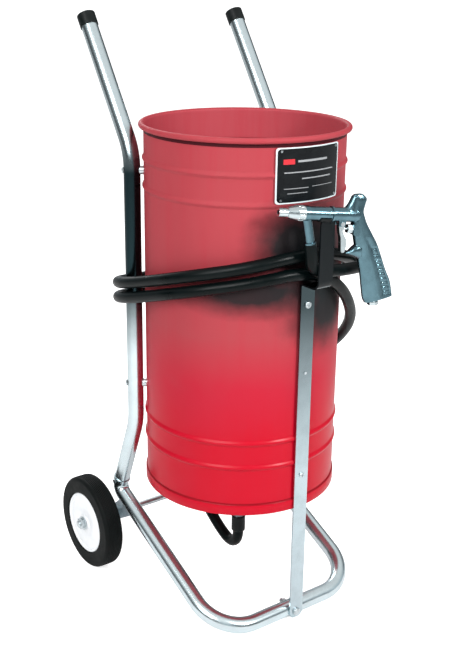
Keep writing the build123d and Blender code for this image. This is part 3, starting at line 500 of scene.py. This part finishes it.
def surface(name, grid, body, finish, slot, round_u=False, round_v=False, sharp=40, flip=False):
    """A grid of places (rows, columns, 3) as four-sided faces, joined up where a direction is round."""
    rows, columns = grid.shape[:2]
    across_rows, across_columns = rows - (not round_u), columns - (not round_v)
    i, j = np.meshgrid(np.arange(across_rows), np.arange(across_columns), indexing="ij")
    corners = np.stack([[i, j], [i + 1, j], [i + 1, j + 1], [i, j + 1]]).transpose(2, 3, 0, 1)
    if flip:
        corners = corners[:, :, ::-1]
    corners = corners.reshape(-1, 4, 2)
    faces = (corners[..., 0] % rows) * columns + corners[..., 1] % columns
    mesh = bpy.data.meshes.new(name)
    mesh.from_pydata(grid.reshape(-1, 3).tolist(), [], faces.tolist())
    along, across = walked(grid[:, 0]), walked(grid[rows // 2])
    uv = np.stack([along[corners[..., 0]], across[corners[..., 1]]], axis=-1)
    mesh.uv_layers.new(name="along_and_round").data.foreach_set("uv", uv.astype(np.float32).ravel())
    mesh.polygons.foreach_set("use_smooth", np.ones(len(faces), bool))
    mesh.validate()
    mesh.set_sharp_from_angle(angle=radians(sharp))
    mesh.materials.append(finish.material)
    piece = bpy.data.objects.new(name, mesh)
    bpy.context.scene.collection.objects.link(piece)
    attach(piece, body)
    print(name, "faces", len(faces))
    return piece


def turned(name, profile, centre, axis, body, finish, slot, steps=128, **more):
    """A closed profile of (radius, place along the axis) in millimetres, carried round Z or X."""
    angle = np.linspace(0, 2 * pi, steps, endpoint=False)[:, None]
    radius, height = np.asarray(profile, float).T * mm
    ring = [radius * np.cos(angle), radius * np.sin(angle), height + 0 * angle]
    if axis == "X":
        ring = [ring[2], ring[0], ring[1]]
    grid = np.stack(ring, axis=-1) + np.asarray(centre)
    return surface(name, grid, body, finish, slot, round_u=True, round_v=True, **more)


def arc(centre, radius, start, end, count=9):
    """Points on a circle between two angles in degrees."""
    angle = np.radians(np.linspace(start, end, count))
    return np.column_stack([centre[0] + radius * np.cos(angle), centre[1] + radius * np.sin(angle)])


# %% [markdown]
# ## The drum's wall
# Sheet steel is rolled to a cylinder, swaged outwards in two pairs of narrow beads that stiffen it,
# folded into a chime at the foot and curled outwards at the mouth. It could be a cylinder with
# displaced rings, but a profile carried round the axis gives each bead its true curve and keeps
# the wall's thickness. The profile runs up the outside, over the curl and back down the inside.

# %% Drum wall
bead_levels, bead_height, bead_half = np.array([848.0, 799.0, 373.5, 327.0]), 3.0, 7.0
wall_outside, wall_inside = 178.0, 176.8


def beads(z, radius):
    """The wall's radius, with a raised cosine of the bead's height at each level."""
    near = np.clip(np.abs(z[:, None] - bead_levels) / bead_half, 0, 1)
    return radius + bead_height * 0.5 * (1 + np.cos(pi * near)).sum(axis=1)


fine = [np.linspace(level - bead_half, level + bead_half, 17) for level in bead_levels]
heights = np.unique(np.concatenate([np.linspace(255.5, 901.6, 60)] + fine))
outside = np.column_stack([beads(heights, wall_outside), heights])
inside = np.column_stack([beads(heights[::-1], wall_inside), heights[::-1]])
curl = arc((181.8, 905.0), 5.0, -139.5, 180, 25)
foot = np.array([(180.2, 235.0), (180.4, 235.4), (180.4, 253.6), (179.6, 254.8)])
drum_profile = np.vstack([foot, outside, curl, inside, [(wall_inside, 235.0)]])
drum_wall = turned("drum_wall", drum_profile, (0, drum_y, 0), "Z", "machine", red_enamel, "drum_red", steps=224)
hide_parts("drum_shell")

# %% [markdown]
# ## Bent tubes
# The cart is made of 30 mm tube, drawn round a former at each corner. A bend is an arc that touches
# both straight runs, at a distance of radius times the tangent of half the turn from the corner.
# `bent_path` places those arcs, and `carried` sweeps a circle along the result. The circle is
# kept from twisting by carrying its first direction from one place to the next.

# %% Paths with bends, and circles along them


def bent_path(corners, radii, step=4.0):
    """The corners' polyline with an arc of each radius in it, one point per step degrees of arc."""
    corners = np.asarray(corners, float)
    points = [corners[:1]]
    for before, corner, after, radius in zip(corners, corners[1:], corners[2:], radii):
        into, out = corner - before, after - corner
        into, out = into / np.linalg.norm(into), out / np.linalg.norm(out)
        turn = np.arccos(np.clip(into @ out, -1, 1))
        inward = out - (into @ out) * into
        inward /= np.linalg.norm(inward)
        angle = np.linspace(0, turn, max(3, int(np.degrees(turn) / step) + 1))[:, None]
        start = corner - into * radius * tan(turn / 2)
        points.append(start + radius * (np.sin(angle) * into + (1 - np.cos(angle)) * inward))
    return np.vstack(points + [corners[-1:]])


def carried(name, path, radius, body, finish, slot, around=40, **more):
    """A circle of one radius, or one for each place on the path, swept along it without twisting."""
    ends = np.vstack([path[:1], path, path[-1:]])
    size = np.concatenate([[1e-5], np.broadcast_to(radius, len(path)), [1e-5]])
    heading = np.gradient(path, axis=0)
    heading = np.vstack([heading[:1], heading, heading[-1:]])
    heading /= np.linalg.norm(heading, axis=1)[:, None]
    first = np.cross(heading[0], (0.31, 0.22, 0.92))
    frames = [first / np.linalg.norm(first)]
    for direction in heading[1:]:
        across = frames[-1] - (frames[-1] @ direction) * direction
        frames.append(across / np.linalg.norm(across))
    across = np.array(frames)
    other = np.cross(heading, across)
    angle = np.linspace(0, 2 * pi, around, endpoint=False)
    ring = across[:, None] * np.cos(angle)[None, :, None] + other[:, None] * np.sin(angle)[None, :, None]
    grid = ends[:, None] + ring * size[:, None, None]
    return surface(name, grid, body, finish, slot, round_v=True, flip=True, **more)


# %% The uprights and the base tube
side_x, upright_y, foot_y, foot_z = 0.1645, drum_y + 0.1113, drum_y + 0.1793, 0.1704
lower_bend_z, upper_bend_z, tube_radius, plug_radius, lip_radius = 0.3415, 0.855, 0.015, 0.0132, 0.0166
rise = np.array([0, upright_y - foot_y, lower_bend_z - foot_z])
rise /= np.linalg.norm(rise)
handle_end = np.array([0, drum_y + 0.2595, 1.0775])
for name, side in sides:
    x = side * side_x
    corners = [
        np.array([x, foot_y, foot_z]) + rise * 0.0205,
        (x, upright_y, lower_bend_z),
        (x, upright_y, upper_bend_z),
        handle_end + (x, 0, 0),
    ]
    upright = bent_path(corners, [0.120, 0.095])
    plug_end = upright[0] + rise * 0.0105
    path = np.vstack([upright[0], plug_end, plug_end + rise * 0.0006, upright[1:]])
    size = np.full(len(path), tube_radius)
    size[:2] = plug_radius
    piece = carried(f"{name}_handle_tube", path, size, "machine", tube_plating, "plated_tube", around=48)
    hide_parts(f"{name}_upright")

front_y = drum_y - 0.1662
mouth = np.array([0, foot_y, foot_z]) + rise * 0.031
loop = [mouth + (-side_x, 0, 0), (-side_x, foot_y, foot_z), (-side_x, front_y, tube_radius)]
loop += [(side_x, front_y, tube_radius), (side_x, foot_y, foot_z), mouth + (side_x, 0, 0)]
loop_path = bent_path(loop, [0.020, 0.080, 0.080, 0.020])
lip = -rise * 0.004
start, end = loop_path[0], loop_path[-1]
opening, closing = [start, start + lip * 0.98, start + lip], [end + lip, end + lip * 0.98, end]
loop_path = np.vstack([*opening, loop_path[1:-1], *closing])
size = np.full(len(loop_path), tube_radius)
size[[0, 1, -2, -1]] = lip_radius
base = carried("base_loop_tube", loop_path, size, "machine", tube_plating, "plated_tube", around=48)
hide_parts("base_tube")

# %% [markdown]
# ## The wheels
# A hard rubber tyre is moulded with fine ribs round its tread and a step where it meets the wheel.
# The wheel is a white plastic disc with a raised edge, a dished face and a hub. Both are turned
# shapes, so a profile carried round the axle says everything about them.

# %% Tyres and wheel centres
axle_low, axle_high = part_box("axle")
axle = np.array([0, (axle_low[1] + axle_high[1]) / 2, (axle_low[2] + axle_high[2]) / 2])
wheel_middle, tyre_radius, rib_depth, rib_pitch = 0.21025, 93.7, 0.9, 3.2875


def tyre_profile():
    """The tyre's section: sidewalls, round shoulders and a tread with ribs, a cosine across the width."""
    across = np.linspace(-11.5, 11.5, 121)
    groove = (0.5 - 0.5 * np.cos(2 * pi * across / rib_pitch)) ** 0.6
    tread = np.column_stack([tyre_radius - rib_depth * groove, across])
    angle = np.radians(np.linspace(-90, -8, 9))
    shoulder = np.column_stack([85.5 + 8.0 * np.cos(angle), -11.5 + 7.85 * np.sin(angle)])
    near = np.vstack([[(61.6, -17.6), (64.0, -19.1), (66.0, -19.35), (72.0, -19.35)], shoulder])
    far = near[::-1] * (1, -1)
    return np.vstack([near, tread, far, [(60.2, 14.0), (60.2, -14.0)]])


def centre_profile():
    """The wheel centre's section, outer face first: hub, dished web, raised edge, tyre seat, inner edge."""
    outer = [(8.2, 18.7), (12.4, 18.7), (13.6, 17.6), (14.4, 15.4), (24.0, 15.2), (27.0, 16.4), (33.0, 17.3)]
    outer += [(50.0, 17.4), (52.5, 16.4), (55.0, 16.6), (56.6, 18.9), (60.4, 18.6), (61.3, 17.4)]
    outer += [(61.3, 13.2), (58.2, 12.6)]
    inner = [(58.2, -12.6), (61.3, -13.2), (61.3, -17.4), (60.4, -18.4), (55.6, -18.4), (54.9, -16.0)]
    inner += [(54.9, 13.0), (34.0, 13.6), (26.0, 12.6), (15.0, 12.0), (14.9, -18.0), (8.2, -18.6)]
    return np.array(outer + inner)


for name, side in sides:
    hub = axle + (side * wheel_middle, 0, 0)
    body = f"{name}_wheel"
    ribs, disc = tyre_profile() * (1, side), centre_profile() * (1, side)
    tyre = turned(f"{name}_ribbed_tyre", ribs, hub, "X", body, tyre_rubber, "tyre_black", 160, flip=side < 0)
    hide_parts(f"{name}_tyre")
    centre_name = f"{name}_wheel_centre"
    wheel = turned(
        centre_name, disc, hub, "X", body, white_plastic, "wheel_white", 96, sharp=30, flip=side > 0
    )
    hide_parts(f"{name}_rim")

# %% [markdown]
# ## The gun's casting
# The gun's body is one sand casting: a grip that is round in front and flat-sided behind, a horn
# over the hand, a spur under the finger, two ears for the trigger's pin and a socket for the
# barrel. No single profile gives that. Each limb is a loft: at every step along it there is a point
# on its front edge and one on its back edge, and a blunt oval stands between the two. The limbs
# overlap, and a fine voxel remesh with a little smoothing melts them into one skin, with the soft
# inside corners that a mould leaves.

# %% Lofts between two edges


def smooth_through(points, count):
    """A Catmull-Rom curve: on each span a cubic whose end slopes are half the gap either side."""
    points = np.asarray(points, float)
    if points.ndim == 1:
        points = points[:, None]
    slope = np.gradient(points, axis=0)
    place = np.linspace(0, len(points) - 1, count)
    index = np.minimum(place.astype(int), len(points) - 2)
    t = (place - index)[:, None]
    start, end = points[index], points[index + 1]
    bend = (2 * t**3 - 3 * t**2 + 1) * start + (3 * t**2 - 2 * t**3) * end
    return bend + (t**3 - 2 * t**2 + t) * slope[index] + (t**3 - t**2) * slope[index + 1]


def limb(front, back, half, rows=60, around=72, blunt_front=2.2, blunt_back=2.2, side_on=0.0, detail=None):
    """A closed grid of (u, w, v): to the edge it runs as |cos| to 2/blunt, to the side as |sin| to 2/blunt."""
    front, back, half = smooth_through(front, rows), smooth_through(back, rows), smooth_through(half, rows)
    angle = np.linspace(0, 2 * pi, around, endpoint=False)[None, :]
    blunt = np.where(np.cos(angle) > 0, blunt_front, blunt_back)
    depth = np.sign(np.cos(angle)) * np.abs(np.cos(angle)) ** (2 / blunt)
    side = np.sign(np.sin(angle)) * np.abs(np.sin(angle)) ** (2 / blunt)
    middle, radius = (front + back) / 2, (front - back) / 2
    flat = middle[:, None] + depth[..., None] * radius[:, None]
    reach = half - (detail(flat[..., 1], -depth) if detail else 0.0)
    grid = np.concatenate([flat, (side * reach + side_on)[..., None]], axis=-1)
    caps = np.array([[*middle[0], side_on], [*middle[-1], side_on]])
    first, last = (cap + (row - cap) * 1e-3 for cap, row in zip(caps, (grid[0], grid[-1])))
    return np.concatenate([first[None], grid, last[None]])


def gate(value, low, high, soft):
    """0 outside and 1 inside two bounds, with straight slopes of the given width at both."""
    return np.clip((value - low) / soft, 0, 1) * np.clip((high - value) / soft, 0, 1)


def grip_relief(up, depth):
    """Millimetres cut from each side: a step behind the round front, two sunk panels, plain ribs in one."""
    step = 1.0 * np.clip((depth - 0.10) / 0.05, 0, 1) * gate(up, -146, -34, 14)
    long_panel, small_panel = gate(up, -133, -72, 2), gate(up, -67, -50, 2)
    panel = 1.4 * gate(depth, 0.24, 0.88, 0.06) * (long_panel + small_panel)
    rib = 1.2 * gate(depth, 0.36, 0.76, 0.05) * gate(up, -130, -75, 1.5)
    rib = rib * np.clip(2.2 * np.cos(2 * pi * up / 7.6) + 0.2, 0, 1)
    stud = 1.1 * gate(depth, 0.40, 0.72, 0.08) * gate(up, -63, -54, 2)
    return step + panel - rib - stud


# %% The limbs, and one skin over them


def joined(grids):
    """The places and faces of several closed tubes of places as one mesh, with a face over each end."""
    places, faces, first = [], [], 0
    for grid in grids:
        rows, columns = grid.shape[:2]
        i, j = np.meshgrid(np.arange(rows - 1), np.arange(columns), indexing="ij")
        beside = (j + 1) % columns
        quads = np.stack(
            [i * columns + j, i * columns + beside, (i + 1) * columns + beside, (i + 1) * columns + j]
        )
        ends = np.arange(columns)[::-1], np.arange((rows - 1) * columns, rows * columns)
        faces += (quads.reshape(4, -1).T + first).tolist() + [(end + first).tolist() for end in ends]
        places.append(grid.reshape(-1, 3))
        first += rows * columns
    return np.concatenate(places).tolist(), faces


grip_front = [
    (81.5, -150), (75, -138), (63, -95), (54, -70), (46, -50), (40.5, -32),
    (36.5, -12), (35, 0), (33, 14), (29, 27), (31, 34),
]
grip_back = [
    (132, -136), (123, -110), (110, -89), (89, -50), (75, -31), (62, -14),
    (55.5, -3), (51, 8), (53, 20), (54.3, 29), (47, 35.5),
]
grip_half = [9.6, 9.9, 9.9, 9.9, 10.4, 10.4, 10.2, 9.6, 8.4, 7.6, 5.5]
grip = limb(grip_front, grip_back, grip_half, 300, 132, 2.3, 4.2, detail=grip_relief)
socket_top = [(-3, 11.6), (28, 11.6), (40, 11), (52, 7)]
socket_foot = [(-3, -11.6), (28, -11.6), (40, -11.5), (52, -9)]
barrel_socket = limb(socket_top, socket_foot, [11.6, 11.6, 10.8, 8.6])
horn = limb([(15, 8), (23, 17), (29, 31.5)], [(40, 2), (42, 16), (42, 32)], [9.5, 8.2, 7.2])
spur_top = [(31.4, -63.0), (38, -58), (45, -51), (56, -44)]
spur_foot = [(31.4, -65.4), (38, -66.6), (46, -69), (58, -74)]
spur = limb(spur_top, spur_foot, [2.5, 6.4, 9.0, 9.6])
ears = [
    limb([(6.6, -6), (7.2, -18.6)], [(20.4, -6), (19.2, -18.6)], [2.5, 2.3], 24, 48, 3, 3, side_on=side * 7.8)
    for _, side in sides
]
valve_front, valve_back = [(36.2, -8), (36.2, -20), (37.5, -33)], [(60, -8), (60, -20), (62, -33)]
valve_housing = limb(valve_front, valve_back, [9.9, 10.0, 9.9], blunt_front=4.5)
limbs = [grip, barrel_socket, horn, spur, *ears, valve_housing]
casting_mesh = bpy.data.meshes.new("gun_casting")
casting_places, casting_faces = joined([on_gun(*np.moveaxis(grid, -1, 0)) for grid in limbs])
casting_mesh.from_pydata(casting_places, [], casting_faces)
casting_mesh.validate()
casting_mesh.materials.append(cast_aluminium.material)
gun_casting = bpy.data.objects.new("gun_casting", casting_mesh)
bpy.context.scene.collection.objects.link(gun_casting)
skin = gun_casting.modifiers.new("one_skin", "REMESH")
skin.mode, skin.voxel_size, skin.use_smooth_shade = "VOXEL", 0.65 * mm, True
soften = gun_casting.modifiers.new("soft_corners", "SMOOTH")
soften.factor, soften.iterations = 0.5, 3
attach(gun_casting, "machine")
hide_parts("gun_body")
print("casting limbs", len(limbs))

# %% [markdown]
# ## Finishes for the pieces kept from the frame
# The small machined pieces have the right shape already. Each takes the finish that its metal has.

# %% Give the kept pieces their finishes
kept = {
    red_enamel: ["drum_bottom", "hopper_cone"],
    pipe_zinc: ["outlet_nipple", "outlet_locknuts"],
    bar_plating: ["left_axle_bracket", "right_axle_bracket"],
    strap_with_painted_shade: ["front_strap"],
    fastener_zinc: [
        "label_rivets", "socket_screws", "axle", "axle_washers", "axle_spacers", "axle_nuts", "strap_screws",
        "strap_spacers", "strap_nuts", "strap_rivet", "foot_bolt", "foot_nut", "drum_bolts", "drum_spacers",
        "drum_nuts", "trigger_pin", "valve_plunger", "valve_spring",
    ],
    black_vinyl: ["left_grip_cap", "right_grip_cap", "gun_rest", "outlet_sleeve"],
    printed_plate: ["label_plate"],
    white_plastic: ["left_bush", "right_bush"],
    cast_aluminium: ["gun_barrel"],
    turned_steel: ["gun_nozzle", "nozzle_nut", "air_inlet", "valve_cap", "trigger"],
    dull_brass: ["air_jet", "valve_seat"],
}
for finish, names in kept.items():
    for node in names:
        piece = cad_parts[node]
        for slot in piece.material_slots:
            slot.material = finish.material
print("kept pieces", sum(map(len, kept.values())))

# %% [markdown]
# ## Floor, lights and surroundings
# Polished tube only looks like metal if it has something to reflect. The surroundings are palest
# overhead, and towards the horizon bright and dark panels stand all round, as in a studio. The
# camera itself sees plain white, and the floor glows faintly for the camera alone. A small key
# lamp stands in front, and two larger soft ones to the left front and behind.

# %% Floor
floor_half, floor_drop = 30, -0.0004
floor_mesh = bpy.data.meshes.new("floor")
floor_corners = [(x * floor_half, y * floor_half, floor_drop) for x, y in ((-1, -1), (1, -1), (1, 1), (-1, 1))]
floor_mesh.from_pydata(floor_corners, [], [(0, 1, 2, 3)])
floor = bpy.data.objects.new("floor", floor_mesh)
bpy.context.scene.collection.objects.link(floor)
floor_paint = Finish("floor_paint", (0.8, 0.8, 0.8), 0.8, Emission_Color=(1, 1, 1, 1))
seen = floor_paint.node("LightPath").outputs["Is Camera Ray"]
floor_paint.link("Emission Strength", floor_paint.maths("MULTIPLY", seen, 0.75))
floor_mesh.materials.append(floor_paint.material)
floor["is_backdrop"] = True
print("floor corners", len(floor_corners))

# %% Surroundings
world = bpy.data.worlds.new("studio")
bpy.context.scene.world = world
world.use_nodes = True
sky = world.node_tree


def sky_node(kind, links, **settings):
    """Adds a node to the surroundings, sets it up and links its numbered or named inputs."""
    made = sky.nodes.new("ShaderNode" + kind)
    for key, value in settings.items():
        setattr(made, key, value)
    for socket, output in links.items():
        sky.links.new(output, made.inputs[socket])
    return made


def share(value, low, high):
    """0 where the value is low and 1 where it is high, in a straight line between them."""
    made = sky_node("MapRange", {"Value": value})
    made.inputs["From Min"].default_value, made.inputs["From Max"].default_value = low, high
    return made.outputs["Result"]


def tones(value, stops):
    """A ramp of colours at (position, colour) stops from 0 to 1."""
    made = sky_node("ValToRGB", {"Fac": value})
    while len(made.color_ramp.elements) < len(stops):
        made.color_ramp.elements.new(0.5)
    for element, (position, colour) in zip(made.color_ramp.elements, stops):
        element.position, element.color = position, (*colour, 1)
    return made.outputs["Color"]


panel_greys = [
    (0.0, 0.25), (0.05, 0.05), (0.12, 0.08), (0.155, 1.0), (0.19, 1.0), (0.225, 0.06), (0.33, 0.04),
    (0.37, 1.0), (0.46, 0.9), (0.50, 0.10), (0.62, 0.08), (0.66, 0.9), (0.80, 0.8), (0.86, 0.05), (1.0, 0.25),
]
direction = sky.nodes.new("ShaderNodeTexCoord").outputs["Generated"]
split = sky_node("SeparateXYZ", {0: direction})
overhead = tones(share(split.outputs["Z"], -1, 1), [(0.52, (0.55, 0.62, 0.66)), (0.85, (1, 1, 1))])
turn_about = sky_node("Math", {0: split.outputs["Y"], 1: split.outputs["X"]}, operation="ARCTAN2")
all_round = share(turn_about.outputs[0], -pi, pi)
panels = tones(all_round, [(at, (grey, grey * 1.03, grey * 1.05)) for at, grey in panel_greys])
low_down = share(split.outputs["Z"], 0.70, 0.30)
panelled = sky_node("Mix", {0: low_down, 6: overhead, 7: panels}, data_type="RGBA", blend_type="MULTIPLY")
to_camera = sky.nodes.new("ShaderNodeLightPath").outputs["Is Camera Ray"]
backdrop = sky_node("Mix", {0: to_camera, 6: panelled.outputs[2]}, data_type="RGBA")
backdrop.inputs[7].default_value = (1.25, 1.25, 1.25, 1)
sky.links.new(backdrop.outputs[2], sky.nodes["Background"].inputs["Color"])
sky.nodes["Background"].inputs["Strength"].default_value = 0.82
print("panels round the horizon", len(panel_greys))

# %% Lamps


def lamp(name, place, target, size, power):
    """A square soft lamp that faces its target."""
    data = bpy.data.lights.new(name, "AREA")
    data.size, data.energy = size, power
    made = bpy.data.objects.new(name, data)
    away = np.asarray(place, float) - target
    away /= np.linalg.norm(away)
    across = np.cross((0, 0, 1), away)
    across /= np.linalg.norm(across)
    made.matrix_world = standing([across, np.cross(away, across), away], place)
    bpy.context.scene.collection.objects.link(made)


lamp("key_lamp", (0.5, -2.4, 1.9), (0, 0, 0.55), 0.5, 54)
lamp("fill_lamp", (-2.3, -1.2, 2.2), (0, 0, 0.5), 1.6, 72)
lamp("back_lamp", (0.6, 2.6, 2.2), (0, 0, 0.6), 1.6, 34)
bpy.context.scene.view_settings.view_transform = "Standard"
print("lamps", len(bpy.data.lights))

# %% [markdown]
# ## Measure and finish
# The finished model must fill the same box as the solid one.

# %% Measure and finish
low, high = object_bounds()
print("box now", [round(v, 4) for v in low], [round(v, 4) for v in high])
